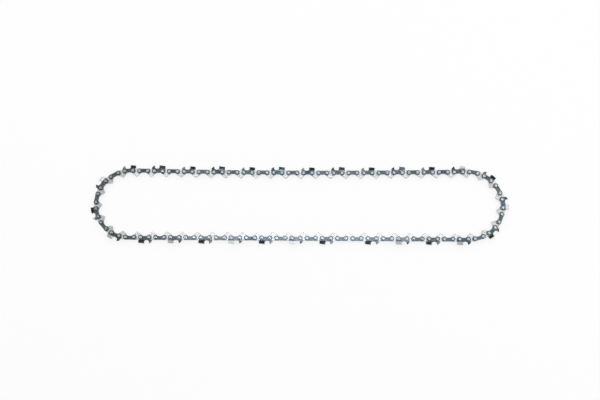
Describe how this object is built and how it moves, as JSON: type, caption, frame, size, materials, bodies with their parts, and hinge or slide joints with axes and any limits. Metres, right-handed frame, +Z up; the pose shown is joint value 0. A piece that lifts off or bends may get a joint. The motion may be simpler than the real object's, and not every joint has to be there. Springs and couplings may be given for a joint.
{
  "type": "saw chain loop",
  "caption": "Closed loop of low-profile saw chain: drive links with tangs, tie straps, left and right cutters and rivets, lying on its side.",
  "frame": {"origin": "middle of the loop, on the surface that it lies on", "axes": "+X along the long way of the loop, +Y across it, +Z up along the rivets, towards the left-hand cutters"},
  "size_m": [0.5164, 0.0984, 0.0064],
  "materials": {
    "strap_steel": "blued and tumbled",
    "cutter_steel": "hard chrome over blued steel"
  },
  "bodies": {
    "link_01": {"link_01_tie_straps": "strap_steel"},
    "link_02": {"link_02_tie_straps": "strap_steel"},
    "link_03": {"link_03_right_cutter": "cutter_steel"},
    "link_04": {"link_04_tie_straps": "strap_steel"},
    "link_05": {"link_05_left_cutter": "cutter_steel"},
    "link_06": {"link_06_tie_straps": "strap_steel"},
    "link_07": {"link_07_right_cutter": "cutter_steel"},
    "link_08": {"link_08_tie_straps": "strap_steel"},
    "link_09": {"link_09_left_cutter": "cutter_steel"},
    "link_10": {"link_10_tie_straps": "strap_steel"},
    "link_11": {"link_11_right_cutter": "cutter_steel"},
    "link_12": {"link_12_tie_straps": "strap_steel"},
    "link_13": {"link_13_left_cutter": "cutter_steel"},
    "link_14": {"link_14_tie_straps": "strap_steel"},
    "link_15": {"link_15_right_cutter": "cutter_steel"},
    "link_16": {"link_16_tie_straps": "strap_steel"},
    "link_17": {"link_17_left_cutter": "cutter_steel"},
    "link_18": {"link_18_tie_straps": "strap_steel"},
    "link_19": {"link_19_right_cutter": "cutter_steel"},
    "link_20": {"link_20_tie_straps": "strap_steel"},
    "link_21": {"link_21_left_cutter": "cutter_steel"},
    "link_22": {"link_22_tie_straps": "strap_steel"},
    "link_23": {"link_23_right_cutter": "cutter_steel"},
    "link_24": {"link_24_tie_straps": "strap_steel"},
    "link_25": {"link_25_left_cutter": "cutter_steel"},
    "link_26": {"link_26_tie_straps": "strap_steel"},
    "link_27": {"link_27_right_cutter": "cutter_steel"},
    "link_28": {"link_28_tie_straps": "strap_steel"},
    "link_29": {"link_29_left_cutter": "cutter_steel"},
    "link_30": {"link_30_tie_straps": "strap_steel"},
    "link_31": {"link_31_right_cutter": "cutter_steel"},
    "link_32": {"link_32_tie_straps": "strap_steel"},
    "link_33": {"link_33_left_cutter": "cutter_steel"},
    "link_34": {"link_34_tie_straps": "strap_steel"},
    "link_35": {"link_35_right_cutter": "cutter_steel"},
    "link_36": {"link_36_tie_straps": "strap_steel"},
    "link_37": {"link_37_left_cutter": "cutter_steel"},
    "link_38": {"link_38_tie_straps": "strap_steel"},
    "link_39": {"link_39_right_cutter": "cutter_steel"},
    "link_40": {"link_40_tie_straps": "strap_steel"},
    "link_41": {"link_41_left_cutter": "cutter_steel"},
    "link_42": {"link_42_tie_straps": "strap_steel"},
    "link_43": {"link_43_right_cutter": "cutter_steel"},
    "link_44": {"link_44_tie_straps": "strap_steel"},
    "link_45": {"link_45_left_cutter": "cutter_steel"},
    "link_46": {"link_46_tie_straps": "strap_steel"},
    "link_47": {"link_47_right_cutter": "cutter_steel"},
    "link_48": {"link_48_tie_straps": "strap_steel"},
    "link_49": {"link_49_left_cutter": "cutter_steel"},
    "link_50": {"link_50_tie_straps": "strap_steel"},
    "link_51": {"link_51_right_cutter": "cutter_steel"},
    "link_52": {"link_52_tie_straps": "strap_steel"},
    "link_53": {"link_53_left_cutter": "cutter_steel"},
    "link_54": {"link_54_tie_straps": "strap_steel"},
    "link_55": {"link_55_right_cutter": "cutter_steel"},
    "link_56": {"link_56_tie_straps": "strap_steel"},
    "link_57": {"link_57_left_cutter": "cutter_steel"},
    "link_58": {"link_58_tie_straps": "strap_steel"},
    "link_59": {"link_59_right_cutter": "cutter_steel"}
  },
  "joints": [
    {"name": "pivot_30_31", "type": "hinge", "parent": "link_30", "child": "link_31", "pos_m": [-0.05795, 0.03996, 0.00321], "axis": [0, 0, -1], "range_deg": [-6.8, 1.02]},
    {"name": "pivot_31_32", "type": "hinge", "parent": "link_31", "child": "link_32", "pos_m": [-0.07659, 0.04008, 0.00321], "axis": [0, 0, -1], "range_deg": [-6.67, 1]},
    {"name": "pivot_32_33", "type": "hinge", "parent": "link_32", "child": "link_33", "pos_m": [-0.09523, 0.04023, 0.00321], "axis": [0, 0, -1], "range_deg": [-6.54, 0.98]},
    {"name": "pivot_33_34", "type": "hinge", "parent": "link_33", "child": "link_34", "pos_m": [-0.11387, 0.04042, 0.00321], "axis": [0, 0, -1], "range_deg": [-6.45, 0.97]},
    {"name": "pivot_34_35", "type": "hinge", "parent": "link_34", "child": "link_35", "pos_m": [-0.1325, 0.04064, 0.00321], "axis": [0, 0, -1], "range_deg": [-6.43, 0.97]},
    {"name": "pivot_35_36", "type": "hinge", "parent": "link_35", "child": "link_36", "pos_m": [-0.15114, 0.04089, 0.00321], "axis": [0, 0, -1], "range_deg": [-6.52, 0.98]},
    {"name": "pivot_36_37", "type": "hinge", "parent": "link_36", "child": "link_37", "pos_m": [-0.16978, 0.04118, 0.00321], "axis": [0, 0, -1], "range_deg": [-6.71, 1.01]},
    {"name": "pivot_37_38", "type": "hinge", "parent": "link_37", "child": "link_38", "pos_m": [-0.18842, 0.0415, 0.00321], "axis": [0, 0, -1], "range_deg": [-6.97, 1.04]},
    {"name": "pivot_38_39", "type": "hinge", "parent": "link_38", "child": "link_39", "pos_m": [-0.20705, 0.04185, 0.00321], "axis": [0, 0, -1], "range_deg": [-0.55, 3.67]},
    {"name": "pivot_39_40", "type": "hinge", "parent": "link_39", "child": "link_40", "pos_m": [-0.22533, 0.03883, 0.00321], "axis": [0, 0, -1], "range_deg": [-2.82, 18.81]},
    {"name": "pivot_40_41", "type": "hinge", "parent": "link_40", "child": "link_41", "pos_m": [-0.24053, 0.02823, 0.00321], "axis": [0, 0, -1], "range_deg": [-2.91, 19.38]},
    {"name": "pivot_41_42", "type": "hinge", "parent": "link_41", "child": "link_42", "pos_m": [-0.24965, 0.0121, 0.00321], "axis": [0, 0, -1], "range_deg": [-3, 20.01]},
    {"name": "pivot_42_43", "type": "hinge", "parent": "link_42", "child": "link_43", "pos_m": [-0.2509, -0.00638, 0.00321], "axis": [0, 0, -1], "range_deg": [-2.95, 19.68]},
    {"name": "pivot_43_44", "type": "hinge", "parent": "link_43", "child": "link_44", "pos_m": [-0.24405, -0.02359, 0.00321], "axis": [0, 0, -1], "range_deg": [-2.85, 19]},
    {"name": "pivot_44_45", "type": "hinge", "parent": "link_44", "child": "link_45", "pos_m": [-0.23043, -0.03615, 0.00321], "axis": [0, 0, -1], "range_deg": [-3.05, 20.32]},
    {"name": "pivot_45_46", "type": "hinge", "parent": "link_45", "child": "link_46", "pos_m": [-0.21272, -0.04159, 0.00321], "axis": [0, 0, -1], "range_deg": [-2.07, 13.82]},
    {"name": "pivot_46_47", "type": "hinge", "parent": "link_46", "child": "link_47", "pos_m": [-0.19408, -0.0417, 0.00321], "axis": [0, 0, -1], "range_deg": [-4.5, 0.67]},
    {"name": "pivot_47_48", "type": "hinge", "parent": "link_47", "child": "link_48", "pos_m": [-0.17544, -0.0417, 0.00321], "axis": [0, 0, -1], "range_deg": [-5.74, 0.86]},
    {"name": "pivot_48_49", "type": "hinge", "parent": "link_48", "child": "link_49", "pos_m": [-0.1568, -0.0417, 0.00321], "axis": [0, 0, -1], "range_deg": [-6.14, 0.92]},
    {"name": "pivot_49_50", "type": "hinge", "parent": "link_49", "child": "link_50", "pos_m": [-0.13816, -0.0417, 0.00321], "axis": [0, 0, -1], "range_deg": [-6.29, 0.94]},
    {"name": "pivot_50_51", "type": "hinge", "parent": "link_50", "child": "link_51", "pos_m": [-0.11952, -0.0417, 0.00321], "axis": [0, 0, -1], "range_deg": [-6.32, 0.95]},
    {"name": "pivot_51_52", "type": "hinge", "parent": "link_51", "child": "link_52", "pos_m": [-0.10088, -0.0417, 0.00321], "axis": [0, 0, -1], "range_deg": [-6.29, 0.94]},
    {"name": "pivot_52_53", "type": "hinge", "parent": "link_52", "child": "link_53", "pos_m": [-0.08224, -0.0417, 0.00321], "axis": [0, 0, -1], "range_deg": [-6.24, 0.94]},
    {"name": "pivot_53_54", "type": "hinge", "parent": "link_53", "child": "link_54", "pos_m": [-0.0636, -0.0417, 0.00321], "axis": [0, 0, -1], "range_deg": [-6.19, 0.93]},
    {"name": "pivot_54_55", "type": "hinge", "parent": "link_54", "child": "link_55", "pos_m": [-0.04496, -0.0417, 0.00321], "axis": [0, 0, -1], "range_deg": [-6.13, 0.92]},
    {"name": "pivot_55_56", "type": "hinge", "parent": "link_55", "child": "link_56", "pos_m": [-0.02632, -0.0417, 0.00321], "axis": [0, 0, -1], "range_deg": [-6.09, 0.91]},
    {"name": "pivot_56_57", "type": "hinge", "parent": "link_56", "child": "link_57", "pos_m": [-0.00768, -0.0417, 0.00321], "axis": [0, 0, -1], "range_deg": [-6.08, 0.91]},
    {"name": "pivot_57_58", "type": "hinge", "parent": "link_57", "child": "link_58", "pos_m": [0.01096, -0.0417, 0.00321], "axis": [0, 0, -1], "range_deg": [-6.09, 0.91]},
    {"name": "pivot_58_59", "type": "hinge", "parent": "link_58", "child": "link_59", "pos_m": [0.0296, -0.0417, 0.00321], "axis": [0, 0, -1], "range_deg": [-6.15, 0.92]},
    {"name": "pivot_29_30", "type": "hinge", "parent": "link_30", "child": "link_29", "pos_m": [-0.03931, 0.03987, 0.00321], "axis": [0, 0, 1], "range_deg": [-6.07, 0.91]},
    {"name": "pivot_28_29", "type": "hinge", "parent": "link_29", "child": "link_28", "pos_m": [-0.02067, 0.03982, 0.00321], "axis": [0, 0, 1], "range_deg": [-6.15, 0.92]},
    {"name": "pivot_27_28", "type": "hinge", "parent": "link_28", "child": "link_27", "pos_m": [-0.00203, 0.0398, 0.00321], "axis": [0, 0, 1], "range_deg": [-6.19, 0.93]},
    {"name": "pivot_26_27", "type": "hinge", "parent": "link_27", "child": "link_26", "pos_m": [0.01661, 0.03981, 0.00321], "axis": [0, 0, 1], "range_deg": [-6.19, 0.93]},
    {"name": "pivot_25_26", "type": "hinge", "parent": "link_26", "child": "link_25", "pos_m": [0.03525, 0.03986, 0.00321], "axis": [0, 0, 1], "range_deg": [-6.16, 0.92]},
    {"name": "pivot_24_25", "type": "hinge", "parent": "link_25", "child": "link_24", "pos_m": [0.05389, 0.03994, 0.00321], "axis": [0, 0, 1], "range_deg": [-6.1, 0.92]},
    {"name": "pivot_23_24", "type": "hinge", "parent": "link_24", "child": "link_23", "pos_m": [0.07253, 0.04005, 0.00321], "axis": [0, 0, 1], "range_deg": [-6.05, 0.91]},
    {"name": "pivot_22_23", "type": "hinge", "parent": "link_23", "child": "link_22", "pos_m": [0.09117, 0.0402, 0.00321], "axis": [0, 0, 1], "range_deg": [-6, 0.9]},
    {"name": "pivot_21_22", "type": "hinge", "parent": "link_22", "child": "link_21", "pos_m": [0.10981, 0.04038, 0.00321], "axis": [0, 0, 1], "range_deg": [-5.97, 0.9]},
    {"name": "pivot_20_21", "type": "hinge", "parent": "link_21", "child": "link_20", "pos_m": [0.12845, 0.04059, 0.00321], "axis": [0, 0, 1], "range_deg": [-6, 0.9]},
    {"name": "pivot_19_20", "type": "hinge", "parent": "link_20", "child": "link_19", "pos_m": [0.14709, 0.04084, 0.00321], "axis": [0, 0, 1], "range_deg": [-6.14, 0.92]},
    {"name": "pivot_18_19", "type": "hinge", "parent": "link_19", "child": "link_18", "pos_m": [0.16572, 0.04112, 0.00321], "axis": [0, 0, 1], "range_deg": [-6.55, 0.98]},
    {"name": "pivot_17_18", "type": "hinge", "parent": "link_18", "child": "link_17", "pos_m": [0.18436, 0.04143, 0.00321], "axis": [0, 0, 1], "range_deg": [-7.45, 1.12]},
    {"name": "pivot_16_17", "type": "hinge", "parent": "link_17", "child": "link_16", "pos_m": [0.203, 0.04178, 0.00321], "axis": [0, 0, 1], "range_deg": [-0.54, 3.59]},
    {"name": "pivot_15_16", "type": "hinge", "parent": "link_16", "child": "link_15", "pos_m": [0.22148, 0.04006, 0.00321], "axis": [0, 0, 1], "range_deg": [-2.5, 16.64]},
    {"name": "pivot_14_15", "type": "hinge", "parent": "link_15", "child": "link_14", "pos_m": [0.23755, 0.03083, 0.00321], "axis": [0, 0, 1], "range_deg": [-3.05, 20.36]},
    {"name": "loop_opening", "type": "hinge", "parent": "link_14", "child": "link_13", "pos_m": [0.24805, 0.01557, 0.00321], "axis": [0, 0, 1], "range_deg": [-3, 20]},
    {"name": "pivot_12_13", "type": "hinge", "parent": "link_13", "child": "link_12", "pos_m": [0.25093, -0.00273, 0.00321], "axis": [0, 0, 1], "range_deg": [-2.87, 19.15]},
    {"name": "pivot_11_12", "type": "hinge", "parent": "link_12", "child": "link_11", "pos_m": [0.24561, -0.02047, 0.00321], "axis": [0, 0, 1], "range_deg": [-2.95, 19.68]},
    {"name": "pivot_10_11", "type": "hinge", "parent": "link_11", "child": "link_10", "pos_m": [0.23315, -0.03418, 0.00321], "axis": [0, 0, 1], "range_deg": [-3.08, 20.51]},
    {"name": "pivot_09_10", "type": "hinge", "parent": "link_10", "child": "link_09", "pos_m": [0.21598, -0.04115, 0.00321], "axis": [0, 0, 1], "range_deg": [-2.24, 14.93]},
    {"name": "pivot_08_09", "type": "hinge", "parent": "link_09", "child": "link_08", "pos_m": [0.19736, -0.0417, 0.00321], "axis": [0, 0, 1], "range_deg": [-4.27, 0.64]},
    {"name": "pivot_07_08", "type": "hinge", "parent": "link_08", "child": "link_07", "pos_m": [0.17872, -0.0417, 0.00321], "axis": [0, 0, 1], "range_deg": [-6.16, 0.92]},
    {"name": "pivot_06_07", "type": "hinge", "parent": "link_07", "child": "link_06", "pos_m": [0.16008, -0.0417, 0.00321], "axis": [0, 0, 1], "range_deg": [-6.39, 0.96]},
    {"name": "pivot_05_06", "type": "hinge", "parent": "link_06", "child": "link_05", "pos_m": [0.14144, -0.0417, 0.00321], "axis": [0, 0, 1], "range_deg": [-6.57, 0.99]},
    {"name": "pivot_04_05", "type": "hinge", "parent": "link_05", "child": "link_04", "pos_m": [0.1228, -0.0417, 0.00321], "axis": [0, 0, 1], "range_deg": [-6.65, 1]},
    {"name": "pivot_03_04", "type": "hinge", "parent": "link_04", "child": "link_03", "pos_m": [0.10416, -0.0417, 0.00321], "axis": [0, 0, 1], "range_deg": [-6.63, 0.99]},
    {"name": "pivot_02_03", "type": "hinge", "parent": "link_03", "child": "link_02", "pos_m": [0.08552, -0.0417, 0.00321], "axis": [0, 0, 1], "range_deg": [-6.53, 0.98]},
    {"name": "pivot_01_02", "type": "hinge", "parent": "link_02", "child": "link_01", "pos_m": [0.06688, -0.0417, 0.00321], "axis": [0, 0, 1], "range_deg": [-6.4, 0.96]}
  ],
  "couplings": [
    {"joint": "pivot_30_31", "follows": "loop_opening", "ratio": -0.34022},
    {"joint": "pivot_31_32", "follows": "loop_opening", "ratio": -0.33336},
    {"joint": "pivot_32_33", "follows": "loop_opening", "ratio": -0.3268},
    {"joint": "pivot_33_34", "follows": "loop_opening", "ratio": -0.32237},
    {"joint": "pivot_34_35", "follows": "loop_opening", "ratio": -0.32174},
    {"joint": "pivot_35_36", "follows": "loop_opening", "ratio": -0.32621},
    {"joint": "pivot_36_37", "follows": "loop_opening", "ratio": -0.33571},
    {"joint": "pivot_37_38", "follows": "loop_opening", "ratio": -0.34827},
    {"joint": "pivot_38_39", "follows": "loop_opening", "ratio": 0.18351},
    {"joint": "pivot_39_40", "follows": "loop_opening", "ratio": 0.94075},
    {"joint": "pivot_40_41", "follows": "loop_opening", "ratio": 0.96904},
    {"joint": "pivot_41_42", "follows": "loop_opening", "ratio": 1.0006},
    {"joint": "pivot_42_43", "follows": "loop_opening", "ratio": 0.98379},
    {"joint": "pivot_43_44", "follows": "loop_opening", "ratio": 0.95006},
    {"joint": "pivot_44_45", "follows": "loop_opening", "ratio": 1.016},
    {"joint": "pivot_45_46", "follows": "loop_opening", "ratio": 0.69111},
    {"joint": "pivot_46_47", "follows": "loop_opening", "ratio": -0.2249},
    {"joint": "pivot_47_48", "follows": "loop_opening", "ratio": -0.28717},
    {"joint": "pivot_48_49", "follows": "loop_opening", "ratio": -0.30725},
    {"joint": "pivot_49_50", "follows": "loop_opening", "ratio": -0.3147},
    {"joint": "pivot_50_51", "follows": "loop_opening", "ratio": -0.31601},
    {"joint": "pivot_51_52", "follows": "loop_opening", "ratio": -0.31457},
    {"joint": "pivot_52_53", "follows": "loop_opening", "ratio": -0.31205},
    {"joint": "pivot_53_54", "follows": "loop_opening", "ratio": -0.30927},
    {"joint": "pivot_54_55", "follows": "loop_opening", "ratio": -0.30665},
    {"joint": "pivot_55_56", "follows": "loop_opening", "ratio": -0.30464},
    {"joint": "pivot_56_57", "follows": "loop_opening", "ratio": -0.30378},
    {"joint": "pivot_57_58", "follows": "loop_opening", "ratio": -0.30461},
    {"joint": "pivot_58_59", "follows": "loop_opening", "ratio": -0.30752},
    {"joint": "pivot_29_30", "follows": "loop_opening", "ratio": -0.30364},
    {"joint": "pivot_28_29", "follows": "loop_opening", "ratio": -0.30769},
    {"joint": "pivot_27_28", "follows": "loop_opening", "ratio": -0.30955},
    {"joint": "pivot_26_27", "follows": "loop_opening", "ratio": -0.30941},
    {"joint": "pivot_25_26", "follows": "loop_opening", "ratio": -0.30778},
    {"joint": "pivot_24_25", "follows": "loop_opening", "ratio": -0.30525},
    {"joint": "pivot_23_24", "follows": "loop_opening", "ratio": -0.30247},
    {"joint": "pivot_22_23", "follows": "loop_opening", "ratio": -0.30001},
    {"joint": "pivot_21_22", "follows": "loop_opening", "ratio": -0.29865},
    {"joint": "pivot_20_21", "follows": "loop_opening", "ratio": -0.29996},
    {"joint": "pivot_19_20", "follows": "loop_opening", "ratio": -0.30725},
    {"joint": "pivot_18_19", "follows": "loop_opening", "ratio": -0.32737},
    {"joint": "pivot_17_18", "follows": "loop_opening", "ratio": -0.37248},
    {"joint": "pivot_16_17", "follows": "loop_opening", "ratio": 0.17929},
    {"joint": "pivot_15_16", "follows": "loop_opening", "ratio": 0.83179},
    {"joint": "pivot_14_15", "follows": "loop_opening", "ratio": 1.0181},
    {"joint": "pivot_12_13", "follows": "loop_opening", "ratio": 0.95727},
    {"joint": "pivot_11_12", "follows": "loop_opening", "ratio": 0.98413},
    {"joint": "pivot_10_11", "follows": "loop_opening", "ratio": 1.0256},
    {"joint": "pivot_09_10", "follows": "loop_opening", "ratio": 0.74669},
    {"joint": "pivot_08_09", "follows": "loop_opening", "ratio": -0.21348},
    {"joint": "pivot_07_08", "follows": "loop_opening", "ratio": -0.30825},
    {"joint": "pivot_06_07", "follows": "loop_opening", "ratio": -0.31959},
    {"joint": "pivot_05_06", "follows": "loop_opening", "ratio": -0.32835},
    {"joint": "pivot_04_05", "follows": "loop_opening", "ratio": -0.33227},
    {"joint": "pivot_03_04", "follows": "loop_opening", "ratio": -0.33137},
    {"joint": "pivot_02_03", "follows": "loop_opening", "ratio": -0.32672},
    {"joint": "pivot_01_02", "follows": "loop_opening", "ratio": -0.31989}
  ]
}
